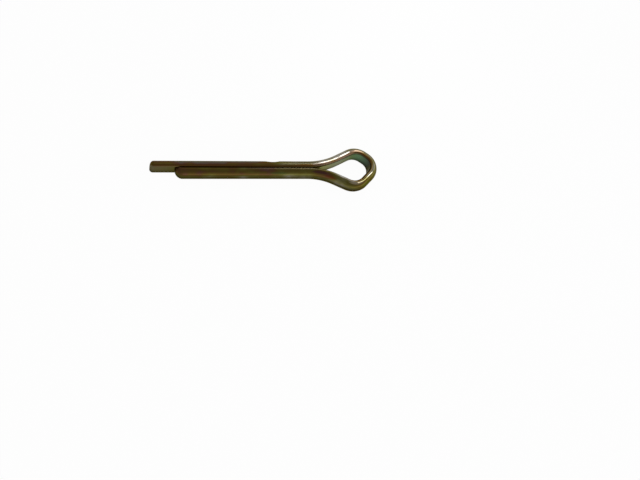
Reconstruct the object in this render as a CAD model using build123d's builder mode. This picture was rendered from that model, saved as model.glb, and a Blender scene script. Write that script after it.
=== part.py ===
from build123d import *
from math import radians, tan
import os

# A split pin bent from one length of half-round wire. The two legs lie flat to flat and make up the
# round shank. Past the shank the wire opens into the eye, and one leg reaches further than the other.
# Frame in millimetres: the origin is on the shank's axis where the straight shank ends and the eye
# starts, +X points to the eye, +Y to the long leg's side, and +Z is up, square to the eye's plane.

# Wire
shank_diameter = 5.65
slit_width = 0.06
wire_edge_radius = 0.7

# Legs
shank_length = 42.7
long_leg_extension = 7.6

# Ends of the legs: the long one is rounded all round its end, the short one falls away at its back
long_tip_radius = 1.1
short_tip_radius = 2.45

# Eye, measured to the inner face of the wire. Each side leaves the shank in a wide bend at the neck and
# runs straight to its hip. The nose, where the hips' far sides meet, leans to the long leg's side.
long_neck_radius = 25.4
long_side_angle = 25.5
long_hip_height = 5.3
long_hip_radius = 3.7
short_neck_radius = 21.2
short_side_angle = 26.0
short_hip_height = 5.2
short_hip_radius = 3.7
nose_distance = 22.3
nose_offset = 1.15
nose_radius = 2.9

# Shallow nick across the long leg's back, facing a little upwards
nick_distance = 11.5
nick_depth = 0.25
nick_radius = 12.5
nick_tilt = 24

# How far the cut at the short leg's end reaches past the wire
cutter_margin = 1.0

shank_radius = shank_diameter / 2
flat_offset = slit_width / 2
short_tip_x = -shank_length
long_tip_x = short_tip_x - long_leg_extension


def eye_side(neck_radius, side_angle, hip_height):
    """The neck's and the hip's corner of one side of the eye, drawn above the shank's axis."""
    half_turn = radians(side_angle) / 2
    neck_x = neck_radius * tan(half_turn)
    hip_x = neck_x + (hip_height - flat_offset) / tan(radians(side_angle))
    return (neck_x, flat_offset), (hip_x, hip_height)


def below_axis(point):
    """The point's mirror image on the short leg's side."""
    return point[0], -point[1]


long_neck, long_hip = eye_side(long_neck_radius, long_side_angle, long_hip_height)
short_neck, short_hip = eye_side(short_neck_radius, short_side_angle, short_hip_height)


with BuildPart() as cotter_pin:
    with BuildLine() as inner_face:
        FilletPolyline(
            (long_tip_x, flat_offset),
            long_neck,
            long_hip,
            (nose_distance, nose_offset),
            below_axis(short_hip),
            below_axis(short_neck),
            (short_tip_x, -flat_offset),
            radius=[long_neck_radius, long_hip_radius, nose_radius, short_hip_radius, short_neck_radius],
        )

    # Half-round section at the long leg's end, its round back on the shank's own circle
    with BuildSketch(Plane(origin=(long_tip_x, flat_offset, 0), x_dir=(0, 1, 0), z_dir=(1, 0, 0))) as wire:
        with Locations((-flat_offset, 0)):
            Circle(shank_radius)
        Rectangle(shank_diameter, 2 * shank_diameter, align=(Align.MAX, Align.CENTER), mode=Mode.SUBTRACT)
        fillet(wire.vertices().group_by(Axis.X)[0], wire_edge_radius)
    sweep(path=inner_face.line)

    # Long leg's end, where one edge carries its rounding on round the whole outline
    flat_end_edges = cotter_pin.edges().filter_by(GeomType.LINE).filter_by(Axis.Z)
    fillet(flat_end_edges.sort_by(Axis.X)[0], long_tip_radius)

    # Short leg's end, rounded by what a turn about the shank's axis takes off its back
    with BuildSketch(Plane.XZ):
        with BuildLine():
            CenterArc(
                (short_tip_x + short_tip_radius, shank_radius - short_tip_radius), short_tip_radius, 90, 90
            )
            Polyline(
                (short_tip_x, shank_radius - short_tip_radius),
                (short_tip_x - cutter_margin, shank_radius - short_tip_radius),
                (short_tip_x - cutter_margin, shank_radius + cutter_margin),
                (short_tip_x + short_tip_radius, shank_radius + cutter_margin),
                (short_tip_x + short_tip_radius, shank_radius),
            )
        make_face()
    revolve(axis=Axis.X, revolution_arc=180, mode=Mode.SUBTRACT)

    # Nick
    with BuildSketch(Plane.XY.rotated((nick_tilt, 0, 0)).offset(-shank_radius)):
        with Locations((-nick_distance, shank_radius - nick_depth + nick_radius)):
            Circle(nick_radius)
    extrude(amount=shank_diameter, mode=Mode.SUBTRACT)

cotter_pin.part.label = "cotter_pin"

os.makedirs("parts", exist_ok=True)
export_step(cotter_pin.part, "parts/cotter_pin.step")
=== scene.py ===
from math import atan2, cos, pi, radians, sin, sqrt, tan

import bpy
from mathutils import Matrix, Quaternion, Vector


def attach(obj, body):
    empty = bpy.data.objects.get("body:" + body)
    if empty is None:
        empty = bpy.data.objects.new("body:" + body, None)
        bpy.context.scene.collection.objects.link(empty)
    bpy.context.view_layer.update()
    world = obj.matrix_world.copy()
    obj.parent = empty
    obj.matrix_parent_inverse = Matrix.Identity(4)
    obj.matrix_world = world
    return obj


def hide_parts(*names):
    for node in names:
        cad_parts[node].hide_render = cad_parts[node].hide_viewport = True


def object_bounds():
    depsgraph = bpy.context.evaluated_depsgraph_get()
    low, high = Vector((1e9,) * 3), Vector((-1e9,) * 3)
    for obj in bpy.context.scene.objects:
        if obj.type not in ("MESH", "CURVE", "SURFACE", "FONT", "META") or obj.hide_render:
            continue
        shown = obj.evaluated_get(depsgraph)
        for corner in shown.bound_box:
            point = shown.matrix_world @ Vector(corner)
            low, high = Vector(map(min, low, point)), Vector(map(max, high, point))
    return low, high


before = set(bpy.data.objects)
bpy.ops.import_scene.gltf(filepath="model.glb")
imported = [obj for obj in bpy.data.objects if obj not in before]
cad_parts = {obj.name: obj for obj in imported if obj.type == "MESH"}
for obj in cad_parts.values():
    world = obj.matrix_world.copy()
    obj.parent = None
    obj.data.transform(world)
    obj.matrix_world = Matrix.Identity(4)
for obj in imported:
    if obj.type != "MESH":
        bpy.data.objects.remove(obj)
cad_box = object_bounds()

MM = 0.001

# Wire and legs, in metres, as in the part
SHANK_RADIUS = 5.65 * MM / 2
FLAT_OFFSET = 0.06 * MM / 2
WIRE_EDGE_RADIUS = 0.7 * MM
SHORT_TIP_X = -42.7 * MM
LONG_TIP_X = SHORT_TIP_X - 7.6 * MM
LONG_TIP_RADIUS = 1.1 * MM
SHORT_TIP_RADIUS = 2.45 * MM

# Centre of the wire's rounded edge: depth behind the flat, height from the wire's middle
EDGE_CENTRE_DEPTH = WIRE_EDGE_RADIUS
EDGE_CENTRE_HEIGHT = sqrt((SHANK_RADIUS - WIRE_EDGE_RADIUS) ** 2 - (EDGE_CENTRE_DEPTH + FLAT_OFFSET) ** 2)

# Eye, to the inner face of the wire
LONG_NECK_RADIUS = 25.4 * MM
LONG_SIDE_ANGLE = radians(25.5)
LONG_HIP_HEIGHT = 5.3 * MM
LONG_HIP_RADIUS = 3.7 * MM
SHORT_NECK_RADIUS = 21.2 * MM
SHORT_SIDE_ANGLE = radians(26.0)
SHORT_HIP_HEIGHT = 5.2 * MM
SHORT_HIP_RADIUS = 3.7 * MM
NOSE_DISTANCE = 22.3 * MM
NOSE_OFFSET = 1.15 * MM
NOSE_RADIUS = 2.9 * MM

# Nick across the long leg's back, facing a little upwards
NICK_X = -11.5 * MM
NICK_DEPTH = 0.25 * MM
NICK_RADIUS = 12.5 * MM
NICK_TILT = radians(24)
NICK_EDGE_SOFTNESS = 0.05 * MM

# Mesh of the wire
RING_SPACING = 0.22 * MM
BEND_STEPS = 48
TIP_RINGS_REACH = 3.0 * MM
BACK_STEPS = 36
EDGE_STEPS = 12
FLAT_STEPS = 8
# Past its rounded edges the long tip draws in this many times faster in height than in depth
TIP_HEIGHT_DRAW = 1.7

# Surface left by drawing: waves this deep, on top of an even wear
DRAWN_UNEVENNESS = 0.015 * MM
LEAST_WEAR = 0.008 * MM

# Noise on the wire: scale along it, scale across it and detail
WAVES = (90.0, 320.0, 1.0)
MOTTLING = (230.0, 420.0, 3.0)
STREAKS = (45.0, 1900.0, 2.0)
GRAIN = (300.0, 900.0, 2.0)


# Nodes


class Value:
    """One output of a node. Sums and products on it add the Math nodes that they stand for."""

    def __init__(self, tree, socket):
        self.tree = tree
        self.socket = socket

    def __getitem__(self, name):
        """Another output of the same node."""
        return Value(self.tree, open_socket(self.socket.node.outputs, name))

    def maths(self, operation, *terms, clamped=False):
        settings = {"operation": operation, "use_clamp": clamped}
        return add_node(self.tree, "ShaderNodeMath", settings, dict(enumerate((self, *terms))))

    def __add__(self, other):
        return self.maths("ADD", other)

    __radd__ = __add__

    def __mul__(self, other):
        return self.maths("MULTIPLY", other)

    __rmul__ = __mul__

    def __sub__(self, other):
        return self.maths("SUBTRACT", other)

    def __rsub__(self, other):
        return (self * -1).maths("ADD", other)

    def __truediv__(self, other):
        return self.maths("DIVIDE", other)

    def __pow__(self, power):
        return self.maths("POWER", power)

    def root(self):
        return self.maths("SQRT")

    def size(self):
        """The value without its sign."""
        return self.maths("ABSOLUTE")

    def least(self, other):
        return self.maths("MINIMUM", other)

    def most(self, other):
        return self.maths("MAXIMUM", other)

    def below(self, limit):
        return self.maths("LESS_THAN", limit)

    def clamped(self):
        return self.maths("ADD", 0.0, clamped=True)

    def rise(self, low, high):
        """0 below low, 1 above high, and a smooth step between."""
        settings = {"interpolation_type": "SMOOTHSTEP"}
        sockets = {"Value": self, "From Min": low, "From Max": high}
        return add_node(self.tree, "ShaderNodeMapRange", settings, sockets)

    def fall(self, low, high):
        """1 below low, 0 above high, and a smooth step between."""
        return 1 - self.rise(low, high)

    def band(self, start, full, fade, end):
        """1 from full to fade, 0 before start and after end, and smooth steps between."""
        return self.rise(start, full) * self.fall(fade, end)


def open_socket(sockets, name):
    """The socket of that number, or the one of that name that the node's settings leave in use."""
    if isinstance(name, int):
        return sockets[name]
    return next(socket for socket in sockets if socket.name == name and socket.enabled)


def add_node(tree, kind, settings=None, sockets=None):
    """Adds a node, sets its settings and then its sockets' values or links, and returns its first output."""
    node = tree.nodes.new(kind)
    for name, setting in (settings or {}).items():
        if name == "stops":
            set_stops(node.color_ramp, setting)
        else:
            setattr(node, name, setting)
    for name, value in (sockets or {}).items():
        socket = open_socket(node.inputs, name)
        if isinstance(value, Value):
            tree.links.new(value.socket, socket)
        else:
            socket.default_value = value
    outputs = [socket for socket in node.outputs if socket.enabled]
    return Value(tree, outputs[0]) if outputs else node


def set_stops(ramp, stops):
    """Gives a colour ramp its stops, each a place and a colour."""
    while len(ramp.elements) < len(stops):
        ramp.elements.new(1.0)
    for element, (place, colour) in zip(ramp.elements, stops):
        element.position = place
        element.color = (*colour, 1.0)


def vector(tree, x, y, z):
    return add_node(tree, "ShaderNodeCombineXYZ", None, {"X": x, "Y": y, "Z": z})


def parts_of(tree, whole):
    """A vector's X, Y and Z."""
    parts = add_node(tree, "ShaderNodeSeparateXYZ", None, {"Vector": whole})
    return parts["X"], parts["Y"], parts["Z"]


def wire_noise(tree, place, along, across, detail):
    """Noise on the wire as if it were straight, with its scale along the wire and across it."""
    scale = (along, across, across)
    stretched = add_node(tree, "ShaderNodeVectorMath", {"operation": "MULTIPLY"}, {0: place, 1: scale})
    sockets = {"Vector": stretched, "Scale": 1.0, "Detail": detail}
    return add_node(tree, "ShaderNodeTexNoise", None, sockets)


def add_object(name, data):
    """A new object of that data, in the scene."""
    item = bpy.data.objects.new(name, data)
    bpy.context.scene.collection.objects.link(item)
    return item


# Shape of the wire


def line_object(name, points, radii=None):
    """A curve object of straight runs between points."""
    curve = bpy.data.curves.new(name, "CURVE")
    curve.dimensions = "3D"
    spline = curve.splines.new("POLY")
    spline.points.add(len(points) - 1)
    for index, point in enumerate(points):
        spline.points[index].co = (*point, 1.0)
        spline.points[index].radius = radii[index] if radii else 1.0
    return add_object(name, curve)


def eye_side(neck_radius, side_angle, hip_height):
    """The neck's and the hip's corner of one side of the eye, drawn above the shank's axis."""
    neck_x = neck_radius * tan(side_angle / 2)
    hip_x = neck_x + (hip_height - FLAT_OFFSET) / tan(side_angle)
    return (neck_x, FLAT_OFFSET), (hip_x, hip_height)


def inner_face_line():
    """The inner face's line from the long leg's end to the short leg's, each corner's bend as its radius."""
    long_neck, long_hip = eye_side(LONG_NECK_RADIUS, LONG_SIDE_ANGLE, LONG_HIP_HEIGHT)
    short_neck, short_hip = eye_side(SHORT_NECK_RADIUS, SHORT_SIDE_ANGLE, SHORT_HIP_HEIGHT)
    corners = [
        (LONG_TIP_X, FLAT_OFFSET, 0.0),
        (*long_neck, LONG_NECK_RADIUS),
        (*long_hip, LONG_HIP_RADIUS),
        (NOSE_DISTANCE, NOSE_OFFSET, NOSE_RADIUS),
        (short_hip[0], -short_hip[1], SHORT_HIP_RADIUS),
        (short_neck[0], -short_neck[1], SHORT_NECK_RADIUS),
        (SHORT_TIP_X, -FLAT_OFFSET, 0.0),
    ]
    points = [(x, y, 0.0) for x, y, bend in corners]
    bends = [bend for x, y, bend in corners]
    return line_object("inner_face_line", points, bends)


def edge_arc(start, end, centre_height):
    """Points of one rounded edge, turning from start to end, each a depth and a height."""
    points = []
    for step in range(EDGE_STEPS):
        angle = start + (end - start) * step / EDGE_STEPS
        depth = EDGE_CENTRE_DEPTH + WIRE_EDGE_RADIUS * cos(angle)
        points.append((depth, centre_height + WIRE_EDGE_RADIUS * sin(angle)))
    return points


def wire_section():
    """Outline of the half-round wire: round back, rounded edge, flat and the other edge.

    Swept along the line, a point's depth behind the flat is drawn on -X and its height on -Y."""
    back_end = atan2(EDGE_CENTRE_HEIGHT, EDGE_CENTRE_DEPTH + FLAT_OFFSET)
    outline = []
    for step in range(BACK_STEPS):
        angle = back_end * (2 * step / BACK_STEPS - 1)
        outline.append((SHANK_RADIUS * cos(angle) - FLAT_OFFSET, SHANK_RADIUS * sin(angle)))
    outline += edge_arc(back_end, pi, EDGE_CENTRE_HEIGHT)
    for step in range(FLAT_STEPS):
        outline.append((0.0, EDGE_CENTRE_HEIGHT * (1 - 2 * step / FLAT_STEPS)))
    outline += edge_arc(pi, 2 * pi - back_end, -EDGE_CENTRE_HEIGHT)
    section = line_object("wire_section", [(-depth, -height, 0.0) for depth, height in outline])
    section.data.splines[0].use_cyclic_u = True
    return section


def new_geometry_tree(name, inputs):
    """An empty geometry tree with named inputs, each a name, a socket type and a value."""
    tree = bpy.data.node_groups.new(name, "GeometryNodeTree")
    tree.interface.new_socket("Geometry", in_out="INPUT", socket_type="NodeSocketGeometry")
    for label, kind, value in inputs:
        socket = tree.interface.new_socket(label, in_out="INPUT", socket_type=kind)
        if value is not None:
            socket.default_value = value
    tree.interface.new_socket("Geometry", in_out="OUTPUT", socket_type="NodeSocketGeometry")
    return tree


def input_identifier(tree, name):
    sockets = (item for item in tree.interface.items_tree if item.in_out == "INPUT")
    return next(socket.identifier for socket in sockets if socket.name == name)


def stored(tree, geometry, name, value, kind="FLOAT"):
    settings = {"data_type": kind, "domain": "POINT"}
    sockets = {"Geometry": geometry, "Name": name, "Value": value}
    return add_node(tree, "GeometryNodeStoreNamedAttribute", settings, sockets)


def named(tree, name, kind="FLOAT"):
    return add_node(tree, "GeometryNodeInputNamedAttribute", {"data_type": kind}, {"Name": name})


def moved_by(tree, geometry, offset):
    sockets = {"Geometry": geometry, "Offset": offset}
    return add_node(tree, "GeometryNodeSetPosition", None, sockets)


def moved_to(tree, geometry, x, y, z):
    sockets = {"Geometry": geometry, "Position": vector(tree, x, y, z)}
    return add_node(tree, "GeometryNodeSetPosition", None, sockets)


def place_of_points(tree):
    return parts_of(tree, add_node(tree, "GeometryNodeInputPosition"))


def line_lengths(tree):
    """Length of the line up to a point, and its whole length."""
    along = add_node(tree, "GeometryNodeSplineParameter")["Length"]
    whole = add_node(tree, "GeometryNodeSplineLength")["Length"]
    return along, whole


def arc_height(radius, across):
    """Height of an arc above its centre at a distance across from it, and 0 past its ends."""
    return (radius * radius - across * across).most(0.0).root()


def finer_towards_tips(tree, curve, reach):
    """Slides the rings near both ends of the line towards them, so that the tips' rounding is fine."""
    along, whole = line_lengths(tree)
    to_tip = along.least(whole - along)
    slid = reach * (1 - (to_tip / reach * (pi / 2)).maths("COSINE"))
    shift = (slid - to_tip) * to_tip.below(reach)
    return moved_by(tree, curve, vector(tree, shift, 0.0, 0.0))


def ringed_line(tree, inputs):
    """The inner face's line with its bends, cut into rings that know how far both tips are."""
    sockets = {
        "Curve": inputs["Geometry"],
        "Count": inputs["Bend Steps"],
        "Radius": add_node(tree, "GeometryNodeInputRadius"),
        "Limit Radius": False,
    }
    bent = add_node(tree, "GeometryNodeFilletCurve", {"mode": "POLY"}, sockets)
    sockets = {"Curve": bent, "Length": inputs["Ring Spacing"]}
    even = add_node(tree, "GeometryNodeResampleCurve", {"mode": "LENGTH"}, sockets)
    level = add_node(tree, "GeometryNodeSetCurveNormal", {"mode": "Z_UP"}, {"Curve": even})
    thin = add_node(tree, "GeometryNodeSetCurveRadius", None, {"Curve": level, "Radius": 1.0})
    ringed = finer_towards_tips(tree, thin, TIP_RINGS_REACH)
    along, whole = line_lengths(tree)
    line = stored(tree, ringed, "along", along)
    return stored(tree, line, "to_short_tip", whole - along)


def swept_wire(tree, line, inputs):
    """The section swept along the line. Each point keeps its place in the wire as if it were straight."""
    section = add_node(tree, "GeometryNodeObjectInfo", None, {"Object": inputs["Section"]})["Geometry"]
    drawn_at = add_node(tree, "GeometryNodeInputPosition")
    section = stored(tree, section, "section_place", drawn_at, "FLOAT_VECTOR")
    sockets = {"Curve": line, "Profile Curve": section, "Fill Caps": True}
    mesh = add_node(tree, "GeometryNodeCurveToMesh", None, sockets)
    minus_depth, minus_height, _ = parts_of(tree, named(tree, "section_place", "FLOAT_VECTOR"))
    place = vector(tree, named(tree, "along"), minus_depth * -1, minus_height * -1)
    return stored(tree, mesh, "wire_place", place, "FLOAT_VECTOR")


def wear_surface(tree, mesh, inputs):
    """Lets the drawn surface wander inwards by a few hundredths, so that reflections aren't ruled lines."""
    noise = wire_noise(tree, named(tree, "wire_place", "FLOAT_VECTOR"), *WAVES)
    sockets = {
        "Vector": add_node(tree, "GeometryNodeInputNormal"),
        "Scale": (noise * inputs["Unevenness"] + inputs["Least Wear"]) * -1,
    }
    inwards = add_node(tree, "ShaderNodeVectorMath", {"operation": "SCALE"}, sockets)
    return moved_by(tree, mesh, inwards)


def round_long_tip(tree, mesh, inputs):
    """Rounds the long leg's end all round: first the rounded edges shrink to nothing, then the core."""
    radius = inputs["Long Tip Radius"]
    x, y, z = place_of_points(tree)
    _, normal_y, normal_z = parts_of(tree, add_node(tree, "GeometryNodeInputNormal"))
    run_in = radius - named(tree, "along").least(radius)
    inset = radius - arc_height(radius, run_in)
    inset_of_edge = inset.least(inputs["Edge Radius"])
    inset_of_core = inset - inset_of_edge
    core_back = SHANK_RADIUS - WIRE_EDGE_RADIUS - FLAT_OFFSET
    core_middle = (core_back + EDGE_CENTRE_DEPTH) / 2 + FLAT_OFFSET
    core_half_depth = (core_back - EDGE_CENTRE_DEPTH) / 2
    y_left = y - normal_y * inset_of_edge
    z_left = z - normal_z * inset_of_edge
    y_new = core_middle + (y_left - core_middle) * (1 - inset_of_core / core_half_depth)
    z_new = z_left * (1 - inset_of_core * TIP_HEIGHT_DRAW / EDGE_CENTRE_HEIGHT)
    return moved_to(tree, mesh, x, y_new, z_new)


def round_short_tip(tree, mesh, inputs):
    """Rounds the back of the short leg's end: nothing stands further from the shank's axis than the arc."""
    radius = inputs["Short Tip Radius"]
    x, y, z = place_of_points(tree)
    to_tip = named(tree, "to_short_tip")
    run_in = radius - to_tip.least(radius)
    limit = SHANK_RADIUS - radius + arc_height(radius, run_in)
    # Kept off zero, because the limit is divided by it
    from_axis = (y * y + z * z).root().most(FLAT_OFFSET / 2)
    kept = 1 + ((limit / from_axis).least(1.0) - 1) * to_tip.below(radius)
    return moved_to(tree, mesh, x, y * kept, z * kept)


def cut_nick(tree, mesh, inputs):
    """Presses the shallow nick into the long leg's back, with soft edges."""
    x, y, z = place_of_points(tree)
    radius = inputs["Nick Radius"]
    across = x - NICK_X
    outwards = y * cos(NICK_TILT) + z * sin(NICK_TILT)
    cut = SHANK_RADIUS - inputs["Nick Depth"] + radius - arc_height(radius, across)
    worn = outwards.maths("SMOOTH_MIN", cut, NICK_EDGE_SOFTNESS)
    shift = (worn - outwards) * across.size().below(radius / 2)
    return moved_to(tree, mesh, x, y + shift * cos(NICK_TILT), z + shift * sin(NICK_TILT))


def wire_tree():
    """Tree that bends the section along the inner face's line and finishes both ends."""
    tree = new_geometry_tree(
        "bent_wire",
        [
            ("Section", "NodeSocketObject", None),
            ("Material", "NodeSocketMaterial", None),
            ("Ring Spacing", "NodeSocketFloat", RING_SPACING),
            ("Bend Steps", "NodeSocketInt", BEND_STEPS),
            ("Edge Radius", "NodeSocketFloat", WIRE_EDGE_RADIUS),
            ("Long Tip Radius", "NodeSocketFloat", LONG_TIP_RADIUS),
            ("Short Tip Radius", "NodeSocketFloat", SHORT_TIP_RADIUS),
            ("Nick Depth", "NodeSocketFloat", NICK_DEPTH),
            ("Nick Radius", "NodeSocketFloat", NICK_RADIUS),
            ("Unevenness", "NodeSocketFloat", DRAWN_UNEVENNESS),
            ("Least Wear", "NodeSocketFloat", LEAST_WEAR),
        ],
    )
    inputs = add_node(tree, "NodeGroupInput")
    mesh = swept_wire(tree, ringed_line(tree, inputs), inputs)
    for finish in (wear_surface, round_long_tip, round_short_tip, cut_nick):
        mesh = finish(tree, mesh, inputs)
    smooth = add_node(tree, "GeometryNodeSetShadeSmooth", None, {"Geometry": mesh})
    real = add_node(tree, "GeometryNodeRealizeInstances", None, {"Geometry": smooth})
    sockets = {"Geometry": real, "Material": inputs["Material"]}
    finished = add_node(tree, "GeometryNodeSetMaterial", None, sockets)
    add_node(tree, "NodeGroupOutput", None, {"Geometry": finished})
    return tree


def bent_wire(material):
    """The whole pin as one plain mesh."""
    line = inner_face_line()
    section = wire_section()
    tree = wire_tree()
    modifier = line.modifiers.new("bent_wire", "NODES")
    modifier.node_group = tree
    modifier[input_identifier(tree, "Section")] = section
    modifier[input_identifier(tree, "Material")] = material
    bpy.context.view_layer.update()
    evaluated = line.evaluated_get(bpy.context.evaluated_depsgraph_get())
    mesh = bpy.data.meshes.new_from_object(evaluated)
    mesh.name = "plated_wire"
    for helper in (line, section):
        curve = helper.data
        bpy.data.objects.remove(helper)
        bpy.data.curves.remove(curve)
    return add_object("plated_wire", mesh)


# Finish of the wire. Places are millimetres along it from the long leg's end, so the long leg is 0 to 50,
# the eye 50 to 98 with its nose near 79, and the short leg the rest. Angles are degrees round it, the same
# above and below: 0 is the middle of the back, 90 the top, and the flat starts near 114.

WIRE_LENGTH = 140.6
# The angles turn about this depth behind the flat
TURN_DEPTH = 0.9 * MM

# The chromate film's tint on the round back, at growing thickness
BACK_TINTS = [
    (0.00, (0.340, 0.322, 0.285)),
    (0.15, (0.190, 0.170, 0.085)),
    (0.30, (0.125, 0.114, 0.030)),
    (0.45, (0.105, 0.082, 0.016)),
    (0.60, (0.100, 0.060, 0.015)),
    (0.75, (0.104, 0.046, 0.028)),
    (0.88, (0.102, 0.076, 0.060)),
    (1.00, (0.110, 0.102, 0.074)),
]
# Place and film thickness on the back
BACK_FILM = [
    (0, 0.48), (4, 0.56), (8, 0.62), (14, 0.64), (24, 0.66), (32, 0.64), (36, 0.50), (40, 0.30),
    (46, 0.26), (51, 0.24), (54, 0.16), (57, 0.05), (63, 0.02), (67, 0.06), (70, 0.22), (74, 0.16),
    (77, 0.34), (81, 0.50), (84.5, 0.38), (88, 0.26), (91, 0.56), (95, 0.60), (97, 0.44), (104, 0.38),
    (107, 0.50), (110, 0.66), (119, 0.50), (124, 0.60), (130, 0.53), (138, 0.62),
]
# Place and tint of the flat
FLAT_TINTS = [
    (0, (0.150, 0.132, 0.082)), (5, (0.145, 0.132, 0.068)), (8, (0.140, 0.130, 0.050)),
    (10, (0.200, 0.110, 0.026)), (46, (0.190, 0.125, 0.030)), (52, (0.350, 0.350, 0.090)),
    (57, (0.380, 0.420, 0.220)), (61, (0.380, 0.470, 0.380)), (66, (0.200, 0.340, 0.180)),
    (69, (0.150, 0.270, 0.150)), (73, (0.060, 0.076, 0.072)), (82, (0.100, 0.090, 0.060)),
    (90, (0.120, 0.100, 0.050)), (98, (0.150, 0.090, 0.024)), (141, (0.150, 0.085, 0.020)),
]
# Patches of another colour: place, angle, half length, half angle, tint, strength
PATCHES = [
    (90.2, 62, 2.8, 14, (0.135, 0.034, 0.012), 0.75),
    (94.4, 77, 3.4, 12, (0.066, 0.020, 0.030), 0.65),
    (79.4, 50, 2.0, 14, (0.110, 0.150, 0.020), 0.6),
    (81.8, 12, 2.6, 14, (0.060, 0.045, 0.050), 0.7),
    # Painted highlight: a pale pink spot on the eye's top, where the lamp's glint falls
    (67.6, 84, 2.4, 10, (0.520, 0.360, 0.250), 0.8),
    (49.5, 98, 5.5, 9, (0.130, 0.055, 0.014), 0.7),
    (48.6, 78, 8.0, 14, (0.105, 0.093, 0.068), 0.8),
    # Partly painted highlight: a pale spot that whitens the lamp's glint on the hip
    (82.0, 82, 2.4, 10, (0.420, 0.335, 0.235), 0.6),
    (108.0, 62, 3.5, 14, (0.055, 0.085, 0.022), 0.5),
    (88.4, 30, 3.0, 15, (0.200, 0.165, 0.070), 0.6),
    (72.4, 38, 2.6, 14, (0.200, 0.180, 0.080), 0.6),
]
# A patch keeps its full strength up to this squared share of the way to its rim
PATCH_MIDDLE = 0.15
# Tints of the wire's edges, partly the film's and partly painted shade, of the short side's edge in the eye,
# of the painted highlight along the slit, and of painted shade
EDGE_FILM_AND_SHADE_TINT = (0.095, 0.040, 0.009)
EYE_RIM_TINT = (0.030, 0.026, 0.018)
SLIT_HIGHLIGHT_TINT = (0.150, 0.125, 0.092)
BACK_SHADE_TINT = (0.010, 0.010, 0.008)
FLAT_SHADE_TINT = (0.022, 0.024, 0.021)
# Tint of the reflections at grazing angles
GRAZING_TINT = (0.60, 0.55, 0.40, 1.0)

# How far the noise shifts the film's thickness, and the flat's tints along the wire
MOTTLING_SHARE = 0.9
STREAKS_SHARE = 0.3
FLAT_SWAY = 0.02 * WIRE_LENGTH

# Roughness of the bright finish, its grain, and what rubbing and a sheared end add
BRIGHT_ROUGHNESS = 0.09
GRAIN_ROUGHNESS = 0.08
SHEARED_ROUGHNESS = 0.3
RUBBED_SHARE = 0.8


def tint_of(tree, share, tints):
    """Tint at a share of a list's range, from 0 to 1."""
    return add_node(tree, "ShaderNodeValToRGB", {"stops": tints}, {"Fac": share})


def tint_along(tree, along, tints):
    """Tint at a place along the wire."""
    return tint_of(tree, along / WIRE_LENGTH, [(place / WIRE_LENGTH, tint) for place, tint in tints])


def mixed(tree, factor, first, second):
    """Mix of a tint and another, which may be a plain colour."""
    if not isinstance(second, Value):
        second = (*second, 1.0)
    return add_node(tree, "ShaderNodeMix", {"data_type": "RGBA"}, {"Factor": factor, "A": first, "B": second})


def patched(tree, along, around, tint):
    """The tint with the patches on it, each an oval with a soft rim."""
    for place, angle, half_length, half_angle, colour, strength in PATCHES:
        x = (along - place) / half_length
        y = (around - angle) / half_angle
        cover = strength * (x * x + y * y).fall(PATCH_MIDDLE, 1.0)
        tint = mixed(tree, cover, tint, colour)
    return tint


def film_on_back(tree, along, around, wander):
    """The film's thickness on the back, with the places where more or less of it stayed, and a thinner
    stretch on the nose's top that is partly painted highlight.
    """
    film = tint_along(tree, along, [(place, (film, film, film)) for place, film in BACK_FILM])
    long_leg = 0.33 * around.fall(62, 98) * along.band(-3, 3, 33, 41)
    lower_side = 0.26 * around.fall(22, 60) * (along.fall(77, 81) + along.rise(84, 91))
    # Partly painted highlight: thinner, paler film along the nose's top edge, where the lamp's glint falls
    nose_top_film_and_highlight = 0.30 * around.band(77, 84, 92, 98) * along.band(73, 78, 82, 86)
    eye_rim = 0.22 * around.rise(86, 96) * along.band(78, 84, 88, 102)
    return film + wander + long_leg - lower_side - nose_top_film_and_highlight - eye_rim


def back_tint(tree, along, around, film, slit_highlight_and_rub):
    """Tint of the round back: the film's, darker at the edges in part as painted shade, with patches, a
    painted highlight along the slit, and painted shade darkening its middle.
    """
    # Darker brown edges: partly the film's colour, partly painted shade in the groove between the legs, round
    # the eye's inside and under the eye's highlight
    eye_edge_shade = 0.85 * around.rise(84, 93) * along.band(50, 54, 72, 76)
    leg_edge_shade = 0.7 * around.rise(88, 101) * along.fall(82, 87)
    tint = mixed(tree, leg_edge_shade.most(eye_edge_shade), tint_of(tree, film, BACK_TINTS), EDGE_FILM_AND_SHADE_TINT)
    eye_rim = 0.5 * around.rise(90, 97) * along.band(80, 85, 96, 101)
    tint = mixed(tree, eye_rim, tint, EYE_RIM_TINT)
    tint = patched(tree, along, around, tint)
    # Painted highlight: a paler line along the short leg's edge at the slit, where its corner catches the
    # light
    tint = mixed(tree, 0.42 * slit_highlight_and_rub, tint, SLIT_HIGHLIGHT_TINT)
    # Painted shade: the middle of the back, the wire's outward side, is darkened
    return mixed(tree, 0.62 * around.fall(8, 46), tint, BACK_SHADE_TINT)


def flat_tint(tree, along, height, wander):
    """Tint of the flat, darker in its lower half as painted shade."""
    tint = tint_along(tree, along + wander * FLAT_SWAY, FLAT_TINTS)
    # Painted shade: the flat is darkened towards its lower edge
    return mixed(tree, 0.72 * height.fall(-2.4, 0.6), tint, FLAT_SHADE_TINT)


def plating_roughness(tree, place, along, around, slit_highlight_and_rub):
    """Roughness of the finish, with its rubbed lines and the sheared ends of the wire."""
    sheared = along.fall(0.4, 1.8) + along.rise(WIRE_LENGTH - 3.0, WIRE_LENGTH - 0.8)
    neck_line = around.band(64, 72, 88, 95) * along.band(39, 44, 51, 55)
    rubbed = (slit_highlight_and_rub + neck_line).clamped() * RUBBED_SHARE
    grain = (wire_noise(tree, place, *GRAIN) - 0.5) * GRAIN_ROUGHNESS
    return BRIGHT_ROUGHNESS + grain + (sheared + rubbed) * SHEARED_ROUGHNESS


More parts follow.
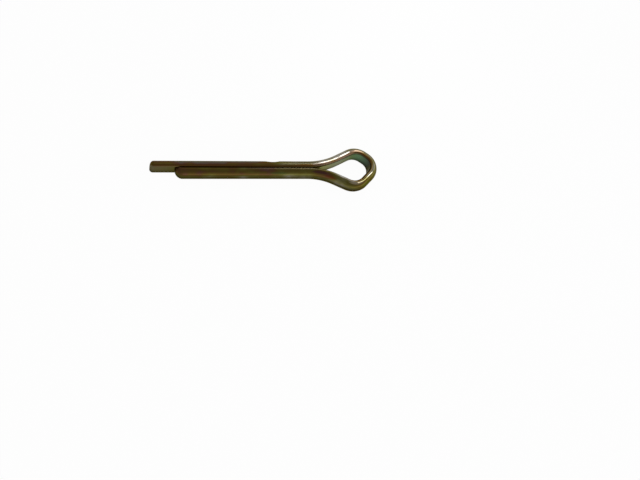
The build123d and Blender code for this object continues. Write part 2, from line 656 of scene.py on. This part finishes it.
def plating():
    """Yellow chromate over drawn wire."""
    material = bpy.data.materials.new("yellow_chromate")
    material.use_nodes = True
    tree = material.node_tree
    shader = tree.nodes["Principled BSDF"]
    place = add_node(tree, "ShaderNodeAttribute", {"attribute_name": "wire_place"})["Vector"]
    length, depth, height = parts_of(tree, place)
    along = length / MM
    around = height.size().maths("ARCTAN2", depth - TURN_DEPTH) * (180 / pi)
    mottling = wire_noise(tree, place, *MOTTLING) - 0.5
    streaks = wire_noise(tree, place, *STREAKS) - 0.5
    wander = mottling * MOTTLING_SHARE + streaks * STREAKS_SHARE
    slit_highlight_and_rub = around.rise(88, 95) * along.band(93, 98, 112, 124)

    back = back_tint(tree, along, around, film_on_back(tree, along, around, wander), slit_highlight_and_rub)
    flat = flat_tint(tree, along, height / MM, wander)
    tint = mixed(tree, around.rise(103, 118), back, flat)
    roughness = plating_roughness(tree, place, along, around, slit_highlight_and_rub)
    tree.links.new(tint.socket, shader.inputs["Base Color"])
    tree.links.new(roughness.socket, shader.inputs["Roughness"])
    shader.inputs["Metallic"].default_value = 1.0
    shader.inputs["Specular Tint"].default_value = GRAZING_TINT
    return material


# Camera, with its angles in radians and its focal length in pixels of the 640 pixels wide picture

CAMERA_PLACE = Vector((-110.43, -149.93, 335.61)) * MM
CAMERA_TILT = -0.3593
CAMERA_LEAN = 0.3021
CAMERA_ROLL = 0.0156
FOCAL_PIXELS = 1200
PICTURE_WIDTH_PIXELS = 640
SENSOR_WIDTH = 36


def add_camera():
    data = bpy.data.cameras.new("camera")
    data.sensor_width = SENSOR_WIDTH
    data.lens = SENSOR_WIDTH * FOCAL_PIXELS / PICTURE_WIDTH_PIXELS
    camera = add_object("camera", data)
    turn = (
        Matrix.Rotation(-CAMERA_TILT, 4, "X")
        @ Matrix.Rotation(-CAMERA_LEAN, 4, "Y")
        @ Matrix.Rotation(-CAMERA_ROLL, 4, "Z")
    )
    camera.matrix_world = Matrix.Translation(CAMERA_PLACE) @ turn
    bpy.context.scene.camera = camera


# Floor and light

FLOOR_HALF_SIZE = 1.5
FLOOR_GAP = 0.02 * MM
FLOOR_GREY = (0.8, 0.8, 0.8, 1.0)
# How white the floor is by itself, seen by the camera and in the metal
FLOOR_GLOW_SEEN = 0.97
FLOOR_GLOW_MIRRORED = 0.4

# Strength of the light from straight above, and from the horizon with its growth along X and Y
ABOVE = 0.48
ABOVE_ALONG_Y = 0.14
HORIZON = 0.87
HORIZON_ALONG_X = 0.9
HORIZON_ALONG_Y = -0.37
HORIZON_POWER = 2.2

# Lamps: name, place, what it faces, width and height, radiance, lean in degrees
LAMPS = [
    ("strip", (0.0172, 0.060, 0.029), (0.0172, 0.0, 0.029), (0.0038, 0.028), 6.0, 11),
    ("top", (0.046, 0.060, 0.050), (0.017, 0.0, 0.0), (0.032, 0.090), 1.6, 0),
    ("side", (0.70, -0.19, 0.69), (0.0, 0.0, 0.0), (0.15, 0.68), 4.5, 33),
]


def white_floor():
    """White to the camera and pale in the metal, with the shadow that falls on it left in."""
    material = bpy.data.materials.new("white_sweep")
    material.use_nodes = True
    tree = material.node_tree
    tree.nodes.clear()
    path = add_node(tree, "ShaderNodeLightPath")
    seen = path["Is Camera Ray"].most(path["Is Transmission Ray"]) * FLOOR_GLOW_SEEN
    glowing = seen.most(path["Is Glossy Ray"] * FLOOR_GLOW_MIRRORED)
    glow = add_node(tree, "ShaderNodeEmission", None, {"Color": (1.0, 1.0, 1.0, 1.0), "Strength": 1.0})
    matt = add_node(tree, "ShaderNodeBsdfDiffuse", None, {"Color": FLOOR_GREY})
    mix = add_node(tree, "ShaderNodeMixShader", None, {0: glowing, 1: matt, 2: glow})
    add_node(tree, "ShaderNodeOutputMaterial", None, {"Surface": mix})
    return material


def add_floor():
    half = FLOOR_HALF_SIZE
    level = cad_box[0][2] - FLOOR_GAP
    mesh = bpy.data.meshes.new("floor")
    corners = [(-half, -half, level), (half, -half, level), (half, half, level), (-half, half, level)]
    mesh.from_pydata(corners, [], [(0, 1, 2, 3)])
    mesh.materials.append(white_floor())
    floor = add_object("floor", mesh)


def light_world():
    """A dim tent above, brighter low down towards the viewer and brightest at the eye's side."""
    world = bpy.data.worlds.new("studio")
    bpy.context.scene.world = world
    world.use_nodes = True
    tree = world.node_tree
    background = tree.nodes["Background"]
    x, y, z = parts_of(tree, add_node(tree, "ShaderNodeTexCoord")["Generated"])
    low = (1 - z).clamped() ** HORIZON_POWER
    above = ABOVE + y * ABOVE_ALONG_Y
    horizon = HORIZON + y * HORIZON_ALONG_Y + x * HORIZON_ALONG_X
    brightness = above + low * (horizon - above)
    tree.links.new(brightness.socket, background.inputs["Strength"])
    background.inputs["Color"].default_value = (1.0, 1.0, 1.0, 1.0)


def add_lamp(name, place, target, size, radiance, lean):
    """A rectangular lamp, as bright in reflections as its radiance, upright apart from its lean."""
    data = bpy.data.lights.new(name, "AREA")
    data.shape = "RECTANGLE"
    data.size, data.size_y = size
    data.energy = radiance * pi * data.size * data.size_y
    lamp = add_object(name, data)
    lamp.location = Vector(place)
    upright = (Vector(place) - Vector(target)).to_track_quat("Z", "Y")
    lamp.rotation_euler = (upright @ Quaternion((0, 0, 1), radians(lean))).to_euler()
    lamp.visible_camera = False


bpy.context.scene.view_settings.view_transform = "Standard"
add_camera()
light_world()
add_floor()
for lamp in LAMPS:
    add_lamp(*lamp)

pin = bent_wire(plating())
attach(pin, "root")
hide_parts("cotter_pin")
